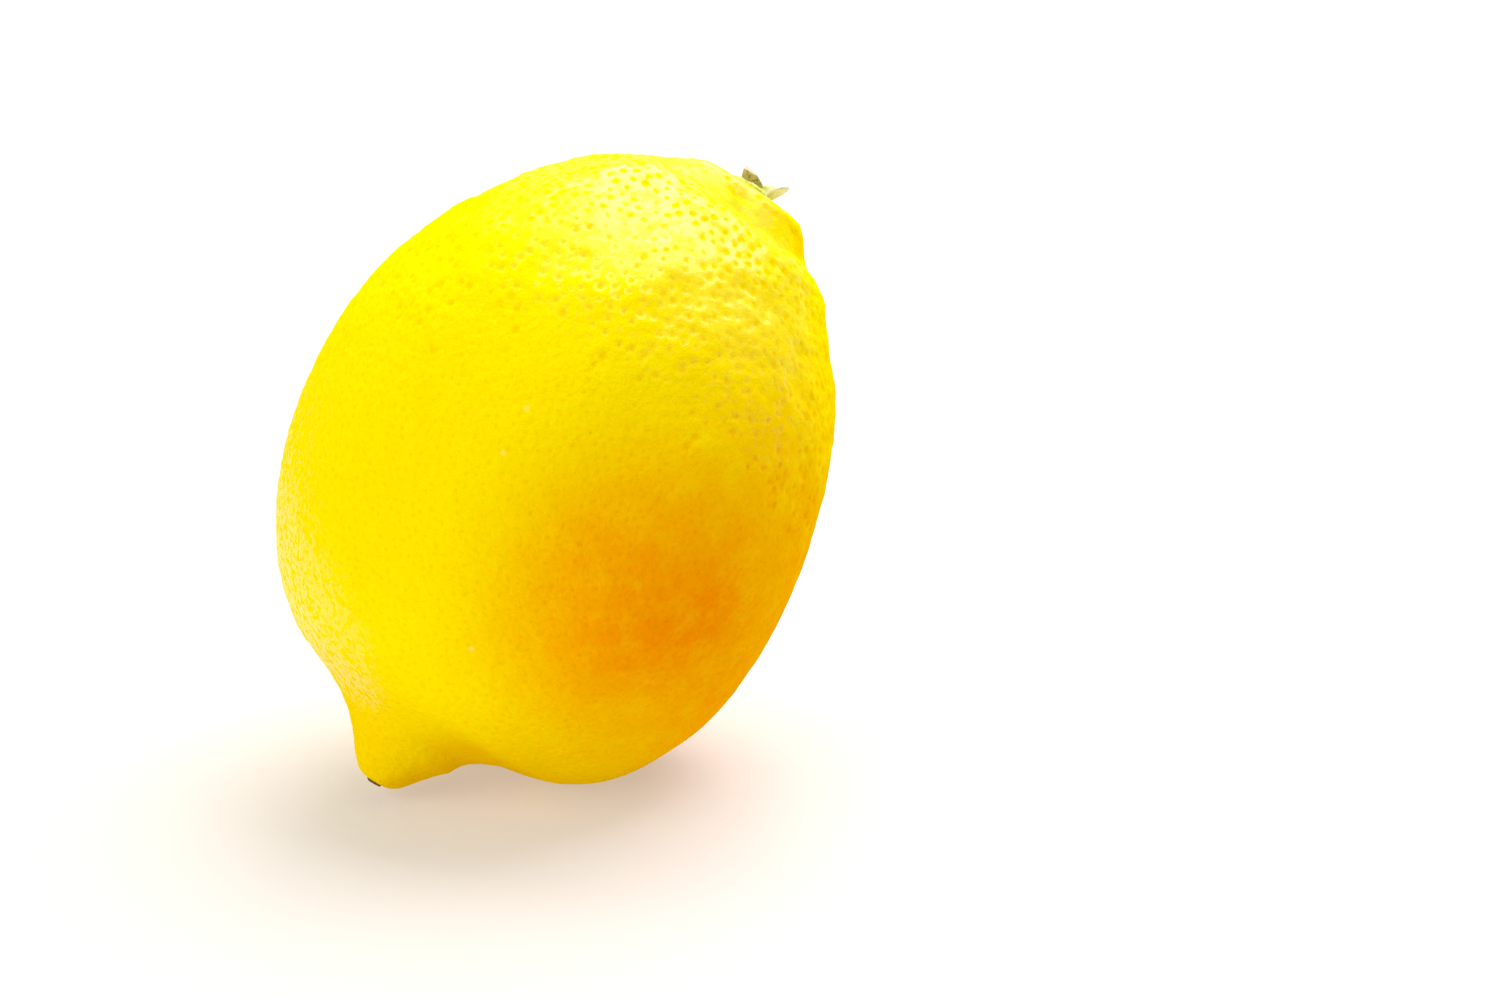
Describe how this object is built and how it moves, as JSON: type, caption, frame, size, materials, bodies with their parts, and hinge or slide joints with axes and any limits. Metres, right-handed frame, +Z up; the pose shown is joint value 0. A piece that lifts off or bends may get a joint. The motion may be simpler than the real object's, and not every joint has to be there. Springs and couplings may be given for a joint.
{
  "type": "lemon",
  "caption": "Whole ripe lemon as picked, with calyx and a short stub of stalk, resting on a small flat spot on its blossom-end shoulder.",
  "frame": {"origin": "middle of the small flat spot that the fruit rests on", "axes": "+Z up from the table. The fruit's axis lies in the XZ plane, 51.5 degrees from the table, with the blossom end low at -X and the stem end high at +X. +Y is across the fruit."},
  "size_m": [0.0667, 0.0616, 0.0729],
  "materials": {
    "peel": "glossy yellow citrus peel, finely pitted with oil glands",
    "calyx": "matt, dry, yellow-green calyx",
    "stalk": "matt olive-brown bark with a pale pinkish-tan cut",
    "dried_style": "matt dark brown, corky"
  },
  "bodies": {
    "root": {"fruit": "peel", "calyx": "calyx", "stalk_stub": "stalk", "style_remnant": "dried_style"}
  },
  "joints": []
}
